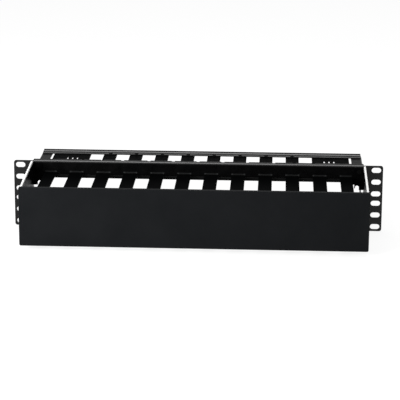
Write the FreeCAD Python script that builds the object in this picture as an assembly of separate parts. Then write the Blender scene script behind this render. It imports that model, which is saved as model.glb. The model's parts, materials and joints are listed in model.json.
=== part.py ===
"""Horizontal cable manager, two rack units high, with finger ducts in front of and behind a panel.

A slotted steel panel has one long opening for cables. Four angled finger strips, above and below
the opening on each side, form the two ducts. The front duct has a side plate at each end and a
push-on cover; the rear duct is open, with a rail riveted across its finger tips and a bracket at
each end. All sizes are in millimetres. X runs along the panel to the right, Y to the rear and
Z up. The origin is the centre of the panel's back face, the plane that meets the rack rails.
"""

import FreeCAD, Part
from FreeCAD import Vector
import math
import os

# Rack standard
RACK_UNIT = 44.45
RACK_UNITS = 2
HOLE_OFFSETS = (6.35, 22.225, 38.1)     # hole heights within one rack unit
PANEL_WIDTH = 482.6
UNIT_GAP = 0.8                          # the panel is this much lower than its rack units
SLOT_INSET = 8.75                       # panel end to the centre of its mounting slots
SLOT_WIDTH = 7.2
SLOT_LENGTH = 12.4

# Rack panel
PANEL_THICK = 2.0
EAR_WIDTH = 23.3                        # panel end to the outer face of the side plate
EAR_CORNER_R = 3.0
RETURN_DEPTH = 10.0                     # top and bottom edges fold back this far
RETURN_INSET = 2.0                      # side plate's outer face to the end of the fold
RETURN_BEND_R = 2.4                     # outer radius of the fold
NOTCH_PLACES = (0.0, 32.5, 64.5, 99.0, 125.5, 151.0)
NOTCH_WIDTH = 4.0
NOTCH_DEPTH = 3.0

# Openings in the panel
PASS_HEIGHT = 43.6
PASS_CORNER_R = 4.0
PASS_INSET = 23.0                       # insets are from the side plate's outer face
END_SLIT_INSET = 16.5
END_SLIT_WIDTH = 2.8
END_SLIT_HEIGHT = 37.0
END_SLOT_INSET = 12.6
END_SLOT_WIDTH = 5.0
END_SLOT_HEIGHT = 34.6
END_LINK_HEIGHT = 27.0                  # slit and slot are joined over this height
END_WINDOW_INSET = 1.5
END_WINDOW_HEIGHT = 22.8

# Finger strips
SHEET = 1.5
BEND_R = 3.0                            # outer radius of a sheet fold
DUCT_HEIGHT = 57.0
FINGER_SHARE = 0.5                      # finger width as a share of the pitch
GAP_DEPTH = 2.0                         # flange top to the bottom of a finger gap
FRONT_GAP_COUNT = 11
REAR_GAP_COUNT = 9
FRONT_INSET = 16.8
FRONT_END_FINGER = 15.9
REAR_INSET = 18.0
FRONT_FINGER_REACH = 106.0              # panel front face to finger tips
REAR_FINGER_REACH = 110.0               # panel back face to finger tips
TIP_FLARE = 2.5                         # the tips are wider than the fingers by this each side
TIP_LENGTH = 8.0
TIP_BEVEL = 2.0

# Tie slots in the solid ends of the rear strips
TIE_SLOT_INSETS = (20.5, 27.0, 33.5)    # from the strip's end
TIE_SLOT_WIDTH = 1.8
TIE_SLOT_LENGTH = 12.0
TIE_SLOT_Y = 76.0

# Rear rails
RAIL_SHEET = 1.2
RAIL_FRONT = 96.0                       # panel back face to the rail's front edge
RAIL_FOOT = 7.0                         # depth of the low front strip on the fingers
RAIL_STEP = 0.8                         # rise from the front strip to the rear strip
RAIL_DEPTH = 17.0
RAIL_LIP = 0.7                          # rear lip above the rear strip
RAIL_INSET = 1.5

# Side plates and rear brackets
TAB_HEIGHT = 10.0
TAB_WIDTH = 14.0
TAB_CORNER_R = 1.0
PLATE_FRONT_FLANGE = 15.0
COVER_HEIGHT = 76.0
BRACKET_FLANGE = 15.0
BRACKET_WINDOW_START = 8.0              # panel back face to the window in the bracket's web
BRACKET_WINDOW_LENGTH = 92.0
BRACKET_WINDOW_HEIGHT = 38.0
BRACKET_WINDOW_R = 4.0

# Front cover
COVER_FRONT = 115.0                     # panel back face to the cover's outer face
COVER_SHEET = 1.5
COVER_RETURN = 6.0
COVER_CORNER_R = 2.0
COVER_BEND_R = 0.8
COVER_GAP = 0.3                         # cover to side plates, all round

# Cover studs and their sockets
STUD_INSET = 8.0
STUD_PLACE_Z = 24.0
STUD_NECK_R = 1.5
STUD_HEAD_R = 2.4
STUD_HEAD = 3.0
STUD_LENGTH = 6.5
SOCKET_GAP = 0.3                        # stud head to socket bore
SOCKET_WALL = 1.1
SOCKET_RIM = 1.2
SOCKET_RIM_WIDTH = 1.6

# Edge trims on the side plates
TRIM_WIDTH = 2.3
TRIM_DEPTH = 2.4
TRIM_END_GAP = 0.5

# Rivets
RIVET_R = 1.6
RIVET_HOLE_GAP = 0.05
RIVET_HEAD_RATIO = 1.8                  # head radius over shank radius
RIVET_HEAD_HEIGHT = 0.7                 # head height over shank radius
END_RIVET_INSET = 7.5
END_RIVET_Z = 36.0

# Modelling aids
OVERCUT = 1.0                           # cutters pass the sheet by this much
CLOSE = 0.001                           # places nearer than this count as one

# Derived places
panel_height = RACK_UNIT * RACK_UNITS - UNIT_GAP
panel_top = panel_height / 2
panel_front = -PANEL_THICK
slot_place = PANEL_WIDTH / 2 - SLOT_INSET
end_half_width = PANEL_WIDTH / 2 - EAR_WIDTH
return_half_length = end_half_width - RETURN_INSET
duct_top = DUCT_HEIGHT / 2
front_half_length = end_half_width - FRONT_INSET
rear_half_length = end_half_width - REAR_INSET
finger_pitch = (front_half_length - FRONT_END_FINGER) / ((FRONT_GAP_COUNT - FINGER_SHARE) / 2)
gap_width = finger_pitch * (1 - FINGER_SHARE)
pass_top = PASS_HEIGHT / 2
pass_half_length = end_half_width - PASS_INSET
cover_back = -COVER_FRONT + COVER_SHEET
plate_front = cover_back + COVER_GAP
cover_half_width = end_half_width + COVER_GAP + COVER_SHEET
cover_top = COVER_HEIGHT / 2
plate_front_top = cover_top - COVER_SHEET - COVER_GAP
trim_wall = (TRIM_WIDTH - SHEET) / 2
plate_step = plate_front + COVER_RETURN - COVER_SHEET + COVER_GAP
plate_root_top = panel_top - trim_wall
plate_step_top = cover_top - trim_wall
rail_rear = RAIL_FRONT + RAIL_DEPTH
stud_place_x = end_half_width - STUD_INSET
end_rivet_x = end_half_width - END_RIVET_INSET


def box(x0, x1, y0, y1, z0, z1):
    """Axis-aligned block between two corners."""
    return Part.makeBox(x1 - x0, y1 - y0, z1 - z0, Vector(x0, y0, z0))


def mirror_x(shape):
    return shape.mirror(Vector(0, 0, 0), Vector(1, 0, 0))


def mirror_z(shape):
    return shape.mirror(Vector(0, 0, 0), Vector(0, 0, 1))


def fuse(shapes):
    """One solid from pieces that touch, with shared faces merged."""
    return shapes[0].multiFuse(shapes[1:]).removeSplitter() if len(shapes) > 1 else shapes[0]


def rounded_rectangle(u0, u1, v0, v1, radius):
    """Closed wire in the XY plane with equal corner arcs."""
    diagonal = radius * (1 - math.sqrt(0.5))
    corners = (
        (Vector(u1 - radius, v0, 0), Vector(u1 - diagonal, v0 + diagonal, 0), Vector(u1, v0 + radius, 0)),
        (Vector(u1, v1 - radius, 0), Vector(u1 - diagonal, v1 - diagonal, 0), Vector(u1 - radius, v1, 0)),
        (Vector(u0 + radius, v1, 0), Vector(u0 + diagonal, v1 - diagonal, 0), Vector(u0, v1 - radius, 0)),
        (Vector(u0, v0 + radius, 0), Vector(u0 + diagonal, v0 + diagonal, 0), Vector(u0 + radius, v0, 0)),
    )
    edges = []
    for start, middle, end in corners:
        if edges:
            edges.append(Part.LineSegment(last, start).toShape())
        edges.append(Part.Arc(start, middle, end).toShape())
        last = end
    if (corners[0][0] - last).Length > CLOSE:
        edges.append(Part.LineSegment(last, corners[0][0]).toShape())
    return Part.Wire(edges)


def plate_xz(x0, x1, z0, z1, y0, y1, radius):
    """Rounded plate or cutter standing in the XZ plane, from y0 to y1."""
    wire = rounded_rectangle(x0, x1, z0, z1, radius)
    wire.rotate(Vector(0, 0, 0), Vector(1, 0, 0), 90)
    wire.translate(Vector(0, y0, 0))
    return Part.Face(wire).extrude(Vector(0, y1 - y0, 0))


def plate_yz(y0, y1, z0, z1, x0, x1, radius):
    """Rounded cutter through a sheet that stands in the YZ plane, from x0 to x1."""
    wire = rounded_rectangle(z0, z1, y0, y1, radius)
    wire.rotate(Vector(0, 0, 0), Vector(0, 1, 0), -90)
    wire.translate(Vector(x0, 0, 0))
    return Part.Face(wire).extrude(Vector(x1 - x0, 0, 0))


def obround_x(x, z, length, width, y0, y1):
    """Slot cutter along X through a standing plate."""
    straight = length - width
    middle = box(x - straight / 2, x + straight / 2, y0, y1, z - width / 2, z + width / 2)
    ends = [
        Part.makeCylinder(width / 2, y1 - y0, Vector(x + side * straight / 2, y0, z), Vector(0, 1, 0))
        for side in (-1, 1)
    ]
    return middle.fuse(ends)


def obround_z(x, height, width, y0, y1):
    """Slot cutter along Z through a standing plate, centred on the panel."""
    straight = height - width
    middle = box(x - width / 2, x + width / 2, y0, y1, -straight / 2, straight / 2)
    ends = [
        Part.makeCylinder(width / 2, y1 - y0, Vector(x, y0, side * straight / 2), Vector(0, 1, 0))
        for side in (-1, 1)
    ]
    return middle.fuse(ends)


def hole_y(x, z, radius, y0, y1):
    return Part.makeCylinder(radius, y1 - y0, Vector(x, y0, z), Vector(0, 1, 0))


def fold_edge(shape, y, z):
    """The long edge of a block where its sheet is folded."""
    return [
        edge for edge in shape.Edges
        if edge.BoundBox.XLength > duct_top
        and abs(edge.BoundBox.YMin - y) < CLOSE and abs(edge.BoundBox.YMax - y) < CLOSE
        and abs(edge.BoundBox.ZMin - z) < CLOSE and abs(edge.BoundBox.ZMax - z) < CLOSE
    ]


def folded_angle(half_length, web_y, reach, direction):
    """Angle of even wall above the opening: a short web and a long flange along direction."""
    tip = web_y + direction * reach
    low, high = sorted((web_y, tip))
    outer = box(-half_length, half_length, low, high, pass_top, duct_top)
    outer = outer.makeFillet(BEND_R, fold_edge(outer, web_y, duct_top))
    inner_web = web_y + direction * SHEET
    inner_top = duct_top - SHEET
    low, high = sorted((inner_web, tip + direction))
    inner = box(-half_length - OVERCUT, half_length + OVERCUT, low, high, pass_top - OVERCUT, inner_top)
    inner = inner.makeFillet(BEND_R - SHEET, fold_edge(inner, inner_web, inner_top))
    return outer.cut(inner)


def end_opening(y0, y1):
    """Right-hand opening in the panel beside the ducts: slit, round-ended slot and window."""
    slit_start = end_half_width - END_SLIT_INSET
    slot_start = end_half_width - END_SLOT_INSET
    slot_end = slot_start + END_SLOT_WIDTH
    window_end = end_half_width - END_WINDOW_INSET
    steps = (
        (slit_start, slit_start + END_SLIT_WIDTH, END_SLIT_HEIGHT),
        (slit_start, (slot_start + slot_end) / 2, END_LINK_HEIGHT),
        (slit_start, window_end, END_WINDOW_HEIGHT),
    )
    shape = obround_z((slot_start + slot_end) / 2, END_SLOT_HEIGHT, END_SLOT_WIDTH, y0, y1)
    return shape.fuse([box(x0, x1, y0, y1, -height / 2, height / 2) for x0, x1, height in steps])


def end_rivet_places():
    return [(side * end_rivet_x, level * END_RIVET_Z) for side in (-1, 1) for level in (-1, 1)]


def gap_centres(count):
    return [(index - (count - 1) / 2) * finger_pitch for index in range(count)]


def rack_slot_heights():
    """Heights of the mounting slots, three to a rack unit."""
    base = -RACK_UNIT * RACK_UNITS / 2
    return [base + unit * RACK_UNIT + offset for unit in range(RACK_UNITS) for offset in HOLE_OFFSETS]


def make_rack_panel():
    """Slotted panel with ears, folded-back edges and openings."""
    y0, y1 = panel_front - OVERCUT, OVERCUT
    half = PANEL_WIDTH / 2
    length = return_half_length
    ears = plate_xz(-half, half, -panel_top, panel_top, panel_front, 0, EAR_CORNER_R)
    fold_rear = panel_front + RETURN_DEPTH
    fold = box(-length, length, panel_front, fold_rear, panel_top - PANEL_THICK, panel_top)
    inner_r = RETURN_BEND_R - PANEL_THICK
    corner = box(-length, length, 0, inner_r, panel_top - RETURN_BEND_R, panel_top - PANEL_THICK)
    corner = corner.cut(Part.makeCylinder(
        inner_r, 2 * length, Vector(-length, inner_r, panel_top - RETURN_BEND_R), Vector(1, 0, 0),
    ))
    bend_y = panel_front + RETURN_BEND_R
    nose = box(-length, length, panel_front, bend_y, panel_top - RETURN_BEND_R, panel_top)
    nose = nose.cut(Part.makeCylinder(
        RETURN_BEND_R, 2 * length, Vector(-length, bend_y, panel_top - RETURN_BEND_R), Vector(1, 0, 0),
    ))
    notches = [
        box(
            side * x - NOTCH_WIDTH / 2, side * x + NOTCH_WIDTH / 2,
            fold_rear - NOTCH_DEPTH, fold_rear + OVERCUT,
            panel_top - PANEL_THICK - OVERCUT, panel_top + OVERCUT,
        )
        for x in NOTCH_PLACES
        for side in ((-1, 1) if x else (1,))
    ]
    upper = fuse([fold, corner]).cut(notches)
    panel = fuse([ears, upper, mirror_z(upper)]).cut([nose, mirror_z(nose)])
    end = end_opening(y0, y1)
    cutters = [
        plate_xz(-pass_half_length, pass_half_length, -pass_top, pass_top, y0, y1, PASS_CORNER_R),
        end, mirror_x(end),
    ]
    cutters += [
        obround_x(side * slot_place, z, SLOT_LENGTH, SLOT_WIDTH, y0, y1)
        for side in (-1, 1)
        for z in rack_slot_heights()
    ]
    cutters += [hole_y(x, z, RIVET_R + RIVET_HOLE_GAP, y0, y1) for x, z in end_rivet_places()]
    return panel.cut(cutters)


def make_front_strip():
    """Upper finger strip of the front duct: free fingers with widened tips."""
    tip = panel_front - FRONT_FINGER_REACH
    strip = folded_angle(front_half_length, panel_front, FRONT_FINGER_REACH, -1)
    z0, z1 = duct_top - GAP_DEPTH, duct_top + OVERCUT
    mouth_half = gap_width / 2 - TIP_FLARE
    cutters = []
    for centre in gap_centres(FRONT_GAP_COUNT):
        cutters.append(box(
            centre - gap_width / 2, centre + gap_width / 2, tip + TIP_LENGTH, panel_front + OVERCUT, z0, z1,
        ))
        cutters.append(box(
            centre - mouth_half, centre + mouth_half, tip - OVERCUT, tip + TIP_LENGTH + OVERCUT, z0, z1,
        ))
    return trim_tips(strip.cut(cutters), tip)


def trim_tips(channel, tip):
    """Bevels the upright corner edges at the finger tips."""
    edges = [
        edge for edge in channel.Edges
        if abs(edge.BoundBox.ZLength - SHEET) < CLOSE
        and abs(edge.BoundBox.YMin - tip) < CLOSE
        and edge.BoundBox.YLength < CLOSE
        and edge.BoundBox.XLength < CLOSE
    ]
    return channel.makeChamfer(TIP_BEVEL, edges)


def make_rear_strip():
    """Upper finger strip of the rear duct: fingers tied by a rail, with solid slotted ends."""
    strip = folded_angle(rear_half_length, 0, REAR_FINGER_REACH, 1)
    z0, z1 = duct_top - GAP_DEPTH, duct_top + OVERCUT
    cutters = [
        box(centre - gap_width / 2, centre + gap_width / 2, -OVERCUT, REAR_FINGER_REACH + OVERCUT, z0, z1)
        for centre in gap_centres(REAR_GAP_COUNT)
    ]
    cutters += [
        box(
            side * (rear_half_length - inset) - TIE_SLOT_WIDTH / 2,
            side * (rear_half_length - inset) + TIE_SLOT_WIDTH / 2,
            TIE_SLOT_Y - TIE_SLOT_LENGTH / 2, TIE_SLOT_Y + TIE_SLOT_LENGTH / 2, z0, z1,
        )
        for inset in TIE_SLOT_INSETS
        for side in (-1, 1)
    ]
    return strip.cut(cutters)


def make_rear_rail():
    """Upper rail: a strip across the finger tips, stepped up behind them to an upturned lip."""
    low = duct_top
    top = low + RAIL_STEP
    step = RAIL_FRONT + RAIL_FOOT
    lip_top = top + RAIL_SHEET + RAIL_LIP
    outline = [
        (RAIL_FRONT, low), (step + RAIL_SHEET, low), (step + RAIL_SHEET, top), (rail_rear, top),
        (rail_rear, lip_top), (rail_rear - RAIL_SHEET, lip_top),
        (rail_rear - RAIL_SHEET, top + RAIL_SHEET), (step, top + RAIL_SHEET),
        (step, low + RAIL_SHEET), (RAIL_FRONT, low + RAIL_SHEET),
    ]
    half = end_half_width - RAIL_INSET
    points = [Vector(-half, y, z) for y, z in outline]
    return Part.Face(Part.makePolygon(points + points[:1])).extrude(Vector(2 * half, 0, 0))


def end_tab(x0, x1, y0, y1):
    """Upturned tab by which a side plate or bracket is riveted to the panel."""
    z0 = END_RIVET_Z - TAB_HEIGHT / 2
    tab = plate_xz(x0, x1, z0, z0 + TAB_HEIGHT, y0, y1, TAB_CORNER_R)
    return tab.cut(hole_y(end_rivet_x, END_RIVET_Z, RIVET_R + RIVET_HOLE_GAP, y0 - OVERCUT, y1 + OVERCUT))


def make_side_plate():
    """Right-hand end of the front duct, tapering from the panel to the cover."""
    x0, x1 = end_half_width - SHEET, end_half_width
    root = panel_front
    front_top = plate_front_top
    outline = [
        (root, -plate_root_top), (plate_step, -plate_step_top), (plate_step, -front_top),
        (plate_front, -front_top), (plate_front, front_top),
        (plate_step, front_top), (plate_step, plate_step_top), (root, plate_root_top),
    ]
    points = [Vector(x0, y, z) for y, z in outline]
    web = Part.Face(Part.makePolygon(points + points[:1])).extrude(Vector(x1 - x0, 0, 0))
    flange = box(
        x1 - PLATE_FRONT_FLANGE, x1, plate_front, plate_front + SHEET, -front_top, front_top,
    )
    upper_tab = end_tab(x1 - TAB_WIDTH, x1, root - SHEET, root)
    plate = fuse([web, flange, upper_tab, mirror_z(upper_tab)])
    holes = [
        hole_y(
            stud_place_x, level * STUD_PLACE_Z, STUD_HEAD_R + SOCKET_GAP + SOCKET_WALL,
            plate_front - OVERCUT, plate_front + SHEET + OVERCUT,
        )
        for level in (-1, 1)
    ]
    return plate.cut(holes)


def make_edge_trim():
    """Right-hand upper trim: a channel strip pushed over the side plate's sloping edge."""
    y0 = plate_step + TRIM_END_GAP
    y1 = panel_front - SHEET - TRIM_END_GAP
    slope = (plate_root_top - plate_step_top) / (panel_front - plate_step)
    x1 = end_half_width + trim_wall

    def edge_height(y):
        return plate_step_top + (y - plate_step) * slope

    def strip(x_low, x_high, above, below):
        points = [
            Vector(x_low, y0, edge_height(y0) + above), Vector(x_low, y1, edge_height(y1) + above),
            Vector(x_low, y1, edge_height(y1) - below), Vector(x_low, y0, edge_height(y0) - below),
        ]
        return Part.Face(Part.makePolygon(points + points[:1])).extrude(Vector(x_high - x_low, 0, 0))

    body = strip(x1 - TRIM_WIDTH, x1, trim_wall, TRIM_DEPTH)
    return body.cut(strip(end_half_width - SHEET, end_half_width, 0, TRIM_DEPTH + OVERCUT))


def make_rear_bracket():
    """Right-hand end of the rear duct: a channel that carries the rails' ends."""
    x0, x1 = end_half_width - BRACKET_FLANGE, end_half_width
    outer = box(x0, x1, 0, rail_rear, -duct_top, duct_top)
    bend_edges = [
        edge for edge in outer.Edges
        if edge.BoundBox.YLength > RAIL_FRONT and abs(edge.BoundBox.XMin - x1) < CLOSE
    ]
    outer = outer.makeFillet(BEND_R, bend_edges)
    inner = box(
        x0 - OVERCUT, x1 - SHEET, -OVERCUT, rail_rear + OVERCUT, -duct_top + SHEET, duct_top - SHEET,
    )
    bend_edges = [
        edge for edge in inner.Edges
        if edge.BoundBox.YLength > RAIL_FRONT and edge.BoundBox.XMin > x1 - SHEET - CLOSE
    ]
    inner = inner.makeFillet(BEND_R - SHEET, bend_edges)
    z0 = duct_top - SHEET
    riser = box(x0, x0 + TAB_WIDTH - SHEET, 0, SHEET, z0, END_RIVET_Z)
    upper_tab = fuse([riser, end_tab(x0, x0 + TAB_WIDTH - SHEET, 0, SHEET)])
    upper_tab = upper_tab.cut(
        hole_y(end_rivet_x, END_RIVET_Z, RIVET_R + RIVET_HOLE_GAP, -OVERCUT, SHEET + OVERCUT)
    )
    window = plate_yz(
        BRACKET_WINDOW_START, BRACKET_WINDOW_START + BRACKET_WINDOW_LENGTH,
        -BRACKET_WINDOW_HEIGHT / 2, BRACKET_WINDOW_HEIGHT / 2,
        x1 - SHEET - OVERCUT, x1 + OVERCUT, BRACKET_WINDOW_R,
    )
    return fuse([outer.cut(inner).cut(window), upper_tab, mirror_z(upper_tab)])


def make_front_cover():
    """Plain tray-shaped cover that laps over the side plates' front edges."""
    front = -COVER_FRONT
    outer = plate_xz(
        -cover_half_width, cover_half_width, -cover_top, cover_top,
        front, front + COVER_RETURN, COVER_CORNER_R,
    )
    rim = [
        edge for edge in outer.Edges
        if abs(edge.BoundBox.YMin - front) < CLOSE and abs(edge.BoundBox.YMax - front) < CLOSE
    ]
    outer = outer.makeFillet(COVER_BEND_R, rim)
    inner_half = cover_half_width - COVER_SHEET
    inner_top = cover_top - COVER_SHEET
    inner = plate_xz(
        -inner_half, inner_half, -inner_top, inner_top,
        cover_back, front + COVER_RETURN + OVERCUT, COVER_CORNER_R - COVER_SHEET,
    )
    return outer.cut(inner)


def revolve_y(profile, x, y, z):
    """Turned solid about a line along Y; the profile is a list of (radius, distance)."""
    points = [Vector(radius, distance, 0) for radius, distance in profile]
    face = Part.Face(Part.makePolygon(points + points[:1]))
    solid = face.revolve(Vector(0, 0, 0), Vector(0, 1, 0), 360)
    solid.translate(Vector(x, y, z))
    return solid


def make_cover_studs():
    """Four headed studs on the back of the cover."""
    head_start = STUD_LENGTH - STUD_HEAD
    profile = [
        (0, 0), (STUD_NECK_R, 0), (STUD_NECK_R, head_start), (STUD_HEAD_R, head_start),
        (STUD_HEAD_R, STUD_LENGTH), (0, STUD_LENGTH),
    ]
    return Part.makeCompound([
        revolve_y(profile, side * stud_place_x, cover_back, level * STUD_PLACE_Z)
        for side in (-1, 1)
        for level in (-1, 1)
    ])


def make_stud_socket():
    """Right-hand upper socket: a flanged ring in the side plate, which grips a stud."""
    bore = STUD_HEAD_R + SOCKET_GAP
    barrel = bore + SOCKET_WALL
    rim = barrel + SOCKET_RIM_WIDTH
    profile = [
        (bore, 0), (barrel, 0), (barrel, SHEET), (rim, SHEET), (rim, SHEET + SOCKET_RIM),
        (bore, SHEET + SOCKET_RIM),
    ]
    return revolve_y(profile, stud_place_x, plate_front, STUD_PLACE_Z)


def rivet(radius, grip):
    """Flat-headed rivet along +Y, its head on the sheet face at Y 0 and its tail flush."""
    head = radius * RIVET_HEAD_RATIO
    height = radius * RIVET_HEAD_HEIGHT
    profile = [(0, -height), (head, -height), (head, 0), (radius, 0), (radius, grip), (0, grip)]
    return revolve_y(profile, 0, 0, 0)


def make_end_rivets():
    """Rivets through the side plates' tabs, the panel and the brackets' tabs."""
    start = panel_front - SHEET
    solids = []
    for x, z in end_rivet_places():
        solid = rivet(RIVET_R, PANEL_THICK + 2 * SHEET)
        solid.translate(Vector(x, start, z))
        solids.append(solid)
    return Part.makeCompound(solids)


def export(shape, name):
    shape.exportStep(f"parts/{name}.step")


def main():
    os.makedirs("parts", exist_ok=True)
    export(make_rack_panel(), "rack_panel")
    front_strip = make_front_strip()
    export(front_strip, "front_fingers_top")
    export(mirror_z(front_strip), "front_fingers_bottom")
    rear_strip = make_rear_strip()
    export(rear_strip, "rear_fingers_top")
    export(mirror_z(rear_strip), "rear_fingers_bottom")

    rail = make_rear_rail()
    export(rail, "rear_rail_top")
    export(mirror_z(rail), "rear_rail_bottom")

    side_plate = make_side_plate()
    export(side_plate, "side_plate_right")
    export(mirror_x(side_plate), "side_plate_left")
    bracket = make_rear_bracket()
    export(bracket, "rear_bracket_right")
    export(mirror_x(bracket), "rear_bracket_left")
    trim = make_edge_trim()
    export(trim, "edge_trim_right_top")
    export(mirror_x(trim), "edge_trim_left_top")
    export(mirror_z(trim), "edge_trim_right_bottom")
    export(mirror_x(mirror_z(trim)), "edge_trim_left_bottom")

    socket = make_stud_socket()
    export(socket, "stud_socket_right_top")
    export(mirror_x(socket), "stud_socket_left_top")
    export(mirror_z(socket), "stud_socket_right_bottom")
    export(mirror_x(mirror_z(socket)), "stud_socket_left_bottom")
    export(make_end_rivets(), "end_rivets")
    export(make_front_cover(), "front_cover")
    export(make_cover_studs(), "cover_studs")


main()
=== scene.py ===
"""Looks of the horizontal cable manager: powder coat, rail rivets, floor, light and camera.

Sizes and places are in metres, in the CAD frame: X to the right, Y to the rear, Z up.
Only the limits of the zones of painted highlight and painted shade are in millimetres.
"""

import json
import math

import bpy
from mathutils import Matrix, Vector


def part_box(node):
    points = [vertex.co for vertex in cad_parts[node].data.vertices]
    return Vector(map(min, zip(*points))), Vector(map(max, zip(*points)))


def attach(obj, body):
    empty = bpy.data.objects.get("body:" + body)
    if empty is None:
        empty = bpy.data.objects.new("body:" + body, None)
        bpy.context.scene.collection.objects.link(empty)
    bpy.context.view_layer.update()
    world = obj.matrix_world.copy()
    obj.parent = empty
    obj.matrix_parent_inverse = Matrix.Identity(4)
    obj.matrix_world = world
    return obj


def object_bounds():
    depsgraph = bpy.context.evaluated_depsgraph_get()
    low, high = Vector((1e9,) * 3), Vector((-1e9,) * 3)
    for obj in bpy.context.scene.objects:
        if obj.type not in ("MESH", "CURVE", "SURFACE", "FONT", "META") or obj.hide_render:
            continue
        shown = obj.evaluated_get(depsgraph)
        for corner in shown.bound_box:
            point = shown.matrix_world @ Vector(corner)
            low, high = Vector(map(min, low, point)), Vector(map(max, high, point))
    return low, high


MM = 0.001

# Camera, about the middle of the part
AZIMUTH = 2.58
ELEVATION = 15.7
ROLL = 0.3
DISTANCE = 2.348
LENS = 160.9
SENSOR = 36.0
AIM = Vector((3.06, 0.0, -6.36)) * MM

# Rail rivets
RAIL_SHEET = 1.2 * MM
FINGER_SHEET = 1.5 * MM
RIVET_HEAD_R = 2.7 * MM
RIVET_HEAD_HEIGHT = 1.5 * MM
RIVET_TAIL_R = 2.2 * MM
RIVET_TAIL_HEIGHT = 1.0 * MM
RIVET_SETBACK = 3.0 * MM
FINGER_PITCH = 35.295 * MM
REAR_FINGERS = 8

# Zones of painted highlight and painted shade, in millimetres
PANEL_FACE_Y = (-3.0, -1.9)
DUCT_HALF_LENGTH = 216.0
DUCT_TOP_Z = 42.8
FOLD_HALF_LENGTH = 215.0
FOLD_Y = (-3.0, 0.5)
FOLD_Z = (43.4, 46.0)
ROOT_HIGHLIGHT_HALF_LENGTH = 200.0                # middle of the panel to the last painted highlight
ROOT_HIGHLIGHT_Z = (29.2, 30.6)
ROOT_HIGHLIGHT_FROM_GAP = (8.8, 20.0)             # middle of a finger gap to a painted highlight's start, and past its middle
ROOT_HIGHLIGHT_END = (9.6, 11.5)                  # a painted highlight's bright end fades between these
SIDE_PLATE_INNER_X = 217.1
RAIL_LIP_Y = (109.6, 120.0)
RAIL_FOOT_Y = (90.0, 102.6)

# Stage
FLOOR_HALF = 4.0
FLOOR_GAP = 0.2 * MM
AMBIENT = 0.34                          # the white surround's strength as a light

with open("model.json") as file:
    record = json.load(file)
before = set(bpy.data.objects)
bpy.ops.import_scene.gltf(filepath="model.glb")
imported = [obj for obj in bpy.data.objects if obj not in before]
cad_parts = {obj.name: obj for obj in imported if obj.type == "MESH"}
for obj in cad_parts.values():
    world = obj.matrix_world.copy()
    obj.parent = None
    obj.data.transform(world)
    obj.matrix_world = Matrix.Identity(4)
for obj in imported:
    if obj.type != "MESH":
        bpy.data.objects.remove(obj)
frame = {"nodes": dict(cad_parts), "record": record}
cad_low, cad_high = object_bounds()


# Materials

def link(tree, source, target):
    tree.links.new(source, target)


def new_material(name):
    material = bpy.data.materials.new(name)
    material.use_nodes = True
    tree = material.node_tree
    return material, tree, tree.nodes["Principled BSDF"]


def noise(tree, coordinates, scale, detail=2.0, roughness=0.5):
    node = tree.nodes.new("ShaderNodeTexNoise")
    node.inputs["Scale"].default_value = scale
    node.inputs["Detail"].default_value = detail
    node.inputs["Roughness"].default_value = roughness
    link(tree, coordinates, node.inputs["Vector"])
    return node.outputs["Fac"]


def remap(tree, value, low, high, to_low, to_high):
    node = tree.nodes.new("ShaderNodeMapRange")
    node.inputs["From Min"].default_value = low
    node.inputs["From Max"].default_value = high
    node.inputs["To Min"].default_value = to_low
    node.inputs["To Max"].default_value = to_high
    link(tree, value, node.inputs["Value"])
    return node.outputs["Result"]


def feed(tree, value, socket):
    """Links a socket, or sets a constant."""
    if isinstance(value, bpy.types.NodeSocket):
        link(tree, value, socket)
    else:
        socket.default_value = value


def mix(tree, kind, factor, first, second):
    """Blends two colours, of kind RGBA, or two values, of kind FLOAT."""
    node = tree.nodes.new("ShaderNodeMix")
    node.data_type = kind
    feed(tree, first, node.inputs["A"])
    feed(tree, second, node.inputs["B"])
    link(tree, factor, node.inputs["Factor"])
    return node.outputs["Result"]


def calculate(tree, operation, *values):
    node = tree.nodes.new("ShaderNodeMath")
    node.operation = operation
    for value, socket in zip(values, node.inputs):
        feed(tree, value, socket)
    return node.outputs[0]


def times(tree, first, *others):
    product = first
    for other in others:
        product = calculate(tree, "MULTIPLY", product, other)
    return product


def split(tree, vector):
    """The vector's X, Y and Z."""
    node = tree.nodes.new("ShaderNodeSeparateXYZ")
    link(tree, vector, node.inputs[0])
    return node.outputs["X"], node.outputs["Y"], node.outputs["Z"]


def from_middle(tree, coordinates, axis):
    """Distance from the part's middle along one axis, 0 for X to 2 for Z."""
    return calculate(tree, "ABSOLUTE", split(tree, coordinates)[axis])


def within(tree, value, low, high, soft):
    """1 between low and high millimetres, fading to 0 over soft millimetres beyond them."""
    rise = remap(tree, value, (low - soft) * MM, low * MM, 0.0, 1.0)
    fall = remap(tree, value, high * MM, (high + soft) * MM, 1.0, 0.0)
    return times(tree, rise, fall)


def upward(tree):
    """1 on faces that look up and 0 on steep ones."""
    normal = tree.nodes.new("ShaderNodeNewGeometry").outputs["Normal"]
    return remap(tree, split(tree, normal)[2], 0.6, 0.85, 0.0, 1.0)


def bump(tree, height, distance, strength, normal=None):
    node = tree.nodes.new("ShaderNodeBump")
    node.inputs["Distance"].default_value = distance
    node.inputs["Strength"].default_value = strength
    link(tree, height, node.inputs["Height"])
    if normal is not None:
        link(tree, normal, node.inputs["Normal"])
    return node.outputs["Normal"]


def soft_edges(tree, radius):
    """Normal that rounds the sheet's cut edges as its coating does."""
    node = tree.nodes.new("ShaderNodeBevel")
    node.samples = 4
    node.inputs["Radius"].default_value = radius
    return node.outputs["Normal"]


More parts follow.
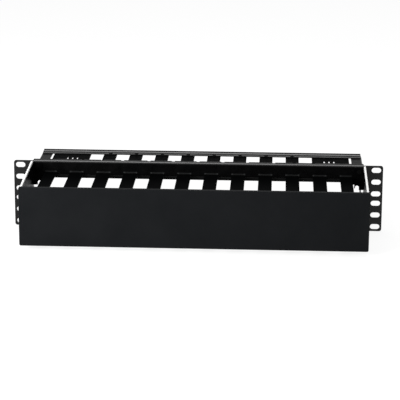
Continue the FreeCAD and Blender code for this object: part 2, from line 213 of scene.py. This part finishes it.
def powder_coat(name, colour, worn, specular, rough, grain=1.0, dull=None, zones=()):
    """Baked powder paint: fine orange peel, slight clouding and patches from handling.

    dull is the gloss of faces that look up. Each zone is (mask function, colour, gloss) of a place
    given painted highlight or painted shade.
    """
    material, tree, shader = new_material(name)
    coordinates = tree.nodes.new("ShaderNodeTexCoord").outputs["Object"]
    peel = noise(tree, coordinates, 1500.0 * grain, 2.0, 0.55)
    clouds = noise(tree, coordinates, 22.0, 4.0, 0.6)
    handling = noise(tree, coordinates, 75.0, 5.0, 0.65)
    cloudy = remap(tree, clouds, 0.3, 0.7, 0.0, 1.0)
    tone = mix(tree, "RGBA", cloudy, (*colour, 1.0), (*worn, 1.0))
    gloss = specular if dull is None else remap(tree, upward(tree), 0.0, 1.0, specular, dull)
    for place, zone_colour, zone_gloss in zones:
        mask = place(tree, coordinates)
        tone = mix(tree, "RGBA", mask, tone, (*zone_colour, 1.0))
        gloss = mix(tree, "FLOAT", mask, gloss, zone_gloss)
    link(tree, tone, shader.inputs["Base Color"])
    feed(tree, gloss, shader.inputs["Specular IOR Level"])
    roughness = remap(tree, handling, 0.25, 0.75, rough - 0.06, rough + 0.08)
    link(tree, roughness, shader.inputs["Roughness"])
    normal = bump(tree, peel, 0.02 * MM, 0.25, soft_edges(tree, 0.35 * MM))
    link(tree, normal, shader.inputs["Normal"])
    return material


def moulded_plastic(name, colour, shade, specular, rough):
    """Plain moulded plastic with a faint matt grain."""
    material, tree, shader = new_material(name)
    coordinates = tree.nodes.new("ShaderNodeTexCoord").outputs["Object"]
    grain = noise(tree, coordinates, 1900.0, 1.0)
    clouds = noise(tree, coordinates, 60.0, 3.0)
    cloudy = remap(tree, clouds, 0.3, 0.7, 0.0, 1.0)
    tone = mix(tree, "RGBA", cloudy, (*colour, 1.0), (*shade, 1.0))
    link(tree, tone, shader.inputs["Base Color"])
    roughness = remap(tree, clouds, 0.2, 0.8, rough - 0.05, rough + 0.05)
    link(tree, roughness, shader.inputs["Roughness"])
    shader.inputs["Specular IOR Level"].default_value = specular
    normal = bump(tree, grain, 0.04 * MM, 0.25, soft_edges(tree, 0.3 * MM))
    link(tree, normal, shader.inputs["Normal"])
    return material


def turned_steel(name):
    """Bright steel with fine tool marks."""
    material, tree, shader = new_material(name)
    coordinates = tree.nodes.new("ShaderNodeTexCoord").outputs["Object"]
    marks = noise(tree, coordinates, 2400.0, 1.0)
    tone = mix(tree, "RGBA", marks, (0.50, 0.50, 0.51, 1.0), (0.66, 0.66, 0.67, 1.0))
    link(tree, tone, shader.inputs["Base Color"])
    link(tree, remap(tree, marks, 0.2, 0.8, 0.22, 0.36), shader.inputs["Roughness"])
    shader.inputs["Metallic"].default_value = 1.0
    link(tree, bump(tree, marks, 0.02 * MM, 0.3), shader.inputs["Normal"])
    return material


def duct_inside_shade(tree, coordinates):
    """The panel's face inside the front duct, painted darker and less glossy as painted shade."""
    return times(
        tree,
        within(tree, from_middle(tree, coordinates, 0), 0.0, DUCT_HALF_LENGTH, 0.3),
        within(tree, split(tree, coordinates)[1], *PANEL_FACE_Y, 0.1),
        within(tree, from_middle(tree, coordinates, 2), 0.0, DUCT_TOP_Z, 0.6),
    )


def panel_fold_highlight(tree, coordinates):
    """The bends along the panel's top and bottom edges, painted light as a painted highlight."""
    return times(
        tree,
        within(tree, from_middle(tree, coordinates, 0), 0.0, FOLD_HALF_LENGTH, 1.0),
        within(tree, split(tree, coordinates)[1], *FOLD_Y, 0.3),
        within(tree, from_middle(tree, coordinates, 2), *FOLD_Z, 0.35),
    )


def finger_root_highlights(tree, coordinates):
    """Thin painted highlights on the panel along the root of each front finger, brighter at their ends.
    """
    x, y, z = split(tree, coordinates)
    from_gap = calculate(tree, "PINGPONG", x, FINGER_PITCH / 2)
    return times(
        tree,
        within(tree, y, *PANEL_FACE_Y, 0.1),
        within(tree, calculate(tree, "ABSOLUTE", z), *ROOT_HIGHLIGHT_Z, 0.4),
        within(tree, calculate(tree, "ABSOLUTE", x), 0.0, ROOT_HIGHLIGHT_HALF_LENGTH, 1.0),
        within(tree, from_gap, *ROOT_HIGHLIGHT_FROM_GAP, 0.2),
        remap(tree, from_gap, ROOT_HIGHLIGHT_END[0] * MM, ROOT_HIGHLIGHT_END[1] * MM, 1.0, 0.4),
    )


def plate_inside_shade(tree, coordinates):
    """Inner faces of the side plates, painted darker and less glossy as painted shade."""
    return within(tree, from_middle(tree, coordinates, 0), 0.0, SIDE_PLATE_INNER_X, 0.2)


def rail_lip(tree, coordinates):
    """The rails' rear lips, whose front faces lie in shade."""
    return within(tree, split(tree, coordinates)[1], *RAIL_LIP_Y, 0.4)


def rail_foot_shade(tree, coordinates):
    """The rails' low front strips, painted darker and less glossy as painted shade."""
    return within(tree, split(tree, coordinates)[1], *RAIL_FOOT_Y, 0.4)


def make_materials():
    """One material for each slot of the record: colour, worn colour, gloss, roughness."""
    return {
        "panel_paint": powder_coat(
            "panel_paint", (0.0017, 0.0017, 0.0018), (0.0026, 0.0026, 0.0028), 0.24, 0.28, dull=0.01,
            zones=(
                # painted shade on the panel's face inside the front duct
                (duct_inside_shade, (0.0013, 0.0013, 0.0014), 0.13),
                # painted highlight along the panel's top and bottom folds
                (panel_fold_highlight, (0.085, 0.085, 0.085), 0.3),
                # painted highlights along the roots of the front fingers
                (finger_root_highlights, (0.030, 0.031, 0.031), 0.1),
            ),
        ),
        "channel_paint": powder_coat(
            "channel_paint", (0.0008, 0.0009, 0.0010), (0.0013, 0.0014, 0.0015), 0.22, 0.4, dull=0.0012,
        ),
        "rail_paint": powder_coat(
            "rail_paint", (0.0120, 0.0120, 0.0120), (0.0150, 0.0150, 0.0150), 0.5, 0.3,
            zones=(
                (rail_lip, (0.003, 0.003, 0.003), 0.012),
                # painted shade on the rails' low front strips
                (rail_foot_shade, (0.008, 0.008, 0.008), 0.14),
            ),
        ),
        "side_paint": powder_coat(
            "side_paint", (0.0020, 0.0020, 0.0022), (0.0032, 0.0032, 0.0034), 0.25, 0.32, dull=0.015,
            # painted shade on the side plates' inner faces
            zones=((plate_inside_shade, (0.0018, 0.0018, 0.0020), 0.012),),
        ),
        "cover_paint": powder_coat(
            "cover_paint", (0.0074, 0.0080, 0.0088), (0.0092, 0.0098, 0.0107), 0.022, 0.38, dull=0.006,
        ),
        "rivet_black": powder_coat(
            "rivet_black", (0.002, 0.002, 0.002), (0.004, 0.004, 0.004), 0.04, 0.4, grain=1.6,
        ),
        # White on the side plates' top trims is a painted highlight along those edges.
        "trim_white": moulded_plastic("trim_white", (0.96, 0.96, 0.95), (0.92, 0.92, 0.91), 0.4, 0.42),
        "socket_nylon": moulded_plastic("socket_nylon", (0.02, 0.02, 0.02), (0.03, 0.03, 0.03), 0.3, 0.5),
        "stud_steel": turned_steel("stud_steel"),
    }


def paint_nodes(materials):
    """Gives every CAD node the material of its record slot."""
    for entry in frame["record"]["subparts"]:
        node = frame["nodes"][entry["node"]]
        node.data.materials.clear()
        node.data.materials.append(materials[entry["material_slot"]])


# Rivets along the rear rails

def dome_rings(radius, height, rings):
    """(radius, height) pairs from the rim of a dome to near its crown."""
    ball = (radius * radius + height * height) / (2 * height)
    span = math.asin(radius / ball)
    return [
        (ball * math.sin(span * (1 - k / rings)), ball * math.cos(span * (1 - k / rings)) - ball + height)
        for k in range(rings)
    ]


def add_turned(vertices, faces, centre, up, rings, crown, sides):
    """Adds a closed turned surface about the vertical line through centre.

    rings are (radius, height) pairs from its base up, crown is its tip's height, and up is 1 or -1.
    """
    first = len(vertices)
    for radius, height in rings:
        for k in range(sides):
            angle = 2 * math.pi * k / sides
            vertices.append((
                centre[0] + radius * math.cos(angle), centre[1] + radius * math.sin(angle),
                centre[2] + up * height,
            ))
    top = len(vertices)
    vertices.append((centre[0], centre[1], centre[2] + up * crown))
    bottom = len(vertices)
    vertices.append((centre[0], centre[1], centre[2] + up * rings[0][1]))
    for ring in range(len(rings) - 1):
        for k in range(sides):
            here = first + ring * sides + k
            beside = first + ring * sides + (k + 1) % sides
            face = (here, beside, beside + sides, here + sides)
            faces.append(face if up > 0 else (face[0], face[3], face[2], face[1]))
    last = first + (len(rings) - 1) * sides
    for k in range(sides):
        after = (k + 1) % sides
        faces.append((last + k, last + after, top) if up > 0 else (last + after, last + k, top))
        faces.append((first + after, first + k, bottom) if up > 0 else (first + k, first + after, bottom))


def make_rail_rivets(name, rail, up):
    """Domed rivets along a rail's low front strip, one on each finger."""
    low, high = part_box(rail)
    seat = (low.z if up > 0 else high.z) + up * RAIL_SHEET
    y = low.y + RIVET_SETBACK
    places = [(k - (REAR_FINGERS - 1) / 2) * FINGER_PITCH for k in range(REAR_FINGERS)]
    head = dome_rings(RIVET_HEAD_R, RIVET_HEAD_HEIGHT, 5)
    tail = dome_rings(RIVET_TAIL_R, RIVET_TAIL_HEIGHT, 3)
    grip = RAIL_SHEET + FINGER_SHEET
    vertices, faces = [], []
    for x in places:
        add_turned(vertices, faces, (x, y, seat), up, head, RIVET_HEAD_HEIGHT, 24)
        add_turned(vertices, faces, (x, y, seat - up * grip), -up, tail, RIVET_TAIL_HEIGHT, 18)
    mesh = bpy.data.meshes.new(name)
    mesh.from_pydata(vertices, [], faces)
    mesh.validate()
    for polygon in mesh.polygons:
        polygon.use_smooth = True
    piece = bpy.data.objects.new(name, mesh)
    bpy.context.scene.collection.objects.link(piece)
    return piece


def add_fasteners(materials):
    for side, up in (("top", 1), ("bottom", -1)):
        piece = make_rail_rivets("rail_rivets_" + side, "rear_rail_" + side, up)
        piece.data.materials.append(materials["rivet_black"])
        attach(piece, "manager")


# Stage

def seen_directly(tree):
    """1 for camera, glossy and transmission rays, 0 for others."""
    path = tree.nodes.new("ShaderNodeLightPath").outputs
    seen = calculate(tree, "MAXIMUM", path["Is Camera Ray"], path["Is Glossy Ray"])
    return calculate(tree, "MAXIMUM", seen, path["Is Transmission Ray"])


def make_floor():
    """White floor just under the part; it keeps a faint shadow."""
    z = cad_low.z - FLOOR_GAP
    signs = ((-1, -1), (1, -1), (1, 1), (-1, 1))
    mesh = bpy.data.meshes.new("floor")
    mesh.from_pydata([(FLOOR_HALF * x, FLOOR_HALF * y, z) for x, y in signs], [], [(0, 1, 2, 3)])
    floor = bpy.data.objects.new("floor", mesh)
    bpy.context.scene.collection.objects.link(floor)
    material = bpy.data.materials.new("floor_white")
    material.use_nodes = True
    tree = material.node_tree
    tree.nodes.clear()
    output = tree.nodes.new("ShaderNodeOutputMaterial")
    plain = tree.nodes.new("ShaderNodeBsdfDiffuse")
    plain.inputs["Color"].default_value = (0.80, 0.80, 0.80, 1.0)
    shaded = tree.nodes.new("ShaderNodeBsdfDiffuse")
    shaded.inputs["Color"].default_value = (0.22, 0.22, 0.22, 1.0)
    glow = tree.nodes.new("ShaderNodeEmission")
    glow.inputs["Color"].default_value = (1.0, 1.0, 1.0, 1.0)
    glow.inputs["Strength"].default_value = 0.86
    added = tree.nodes.new("ShaderNodeAddShader")
    link(tree, shaded.outputs[0], added.inputs[0])
    link(tree, glow.outputs[0], added.inputs[1])
    mix = tree.nodes.new("ShaderNodeMixShader")
    link(tree, seen_directly(tree), mix.inputs[0])
    link(tree, plain.outputs[0], mix.inputs[1])
    link(tree, added.outputs[0], mix.inputs[2])
    link(tree, mix.outputs[0], output.inputs["Surface"])
    mesh.materials.append(material)


def make_world():
    """White all round for what is seen directly, and a plain level for diffuse light."""
    world = bpy.data.worlds.new("studio")
    bpy.context.scene.world = world
    world.use_nodes = True
    tree = world.node_tree
    background = tree.nodes["Background"]
    background.inputs["Color"].default_value = (1.0, 1.0, 1.0, 1.0)
    strength = remap(tree, seen_directly(tree), 0.0, 1.0, AMBIENT, 1.0)
    link(tree, strength, background.inputs["Strength"])


def add_area(name, place, target, size, power):
    """Soft rectangular light at a place, turned to a target."""
    lamp = bpy.data.lights.new(name, "AREA")
    lamp.shape = "RECTANGLE"
    lamp.size, lamp.size_y = size
    lamp.energy = power
    piece = bpy.data.objects.new(name, lamp)
    piece.location = place
    piece.rotation_euler = (Vector(target) - Vector(place)).to_track_quat("-Z", "Y").to_euler()
    bpy.context.scene.collection.objects.link(piece)


def add_lights():
    add_area("key_left", place=(-0.80, -0.80, 0.38), target=(-0.1, -0.1, 0), size=(0.6, 0.6), power=17.0)
    add_area("overhead", place=(0.0, 0.3, 1.9), target=(0, 0, 0), size=(2.0, 1.4), power=18.0)


def add_camera():
    """The photograph's camera, fitted to its edges."""
    azimuth, elevation, roll = (math.radians(v) for v in (AZIMUTH, ELEVATION, ROLL))
    forward = Vector((
        -math.sin(azimuth) * math.cos(elevation), math.cos(azimuth) * math.cos(elevation),
        -math.sin(elevation),
    ))
    level = Vector((math.cos(azimuth), math.sin(azimuth), 0.0))
    above = level.cross(forward)
    right = math.cos(roll) * level + math.sin(roll) * above
    up = -math.sin(roll) * level + math.cos(roll) * above
    data = bpy.data.cameras.new("camera")
    data.lens = LENS
    data.sensor_width = SENSOR
    data.clip_end = 50.0
    camera = bpy.data.objects.new("camera", data)
    place = AIM - forward * DISTANCE
    axes = Matrix((right, up, -forward)).transposed().to_4x4()
    camera.matrix_world = Matrix.Translation(place) @ axes
    bpy.context.scene.collection.objects.link(camera)
    bpy.context.scene.camera = camera


materials = make_materials()
paint_nodes(materials)
add_fasteners(materials)
make_floor()
make_world()
add_lights()
add_camera()
bpy.context.scene.view_settings.view_transform = "Standard"
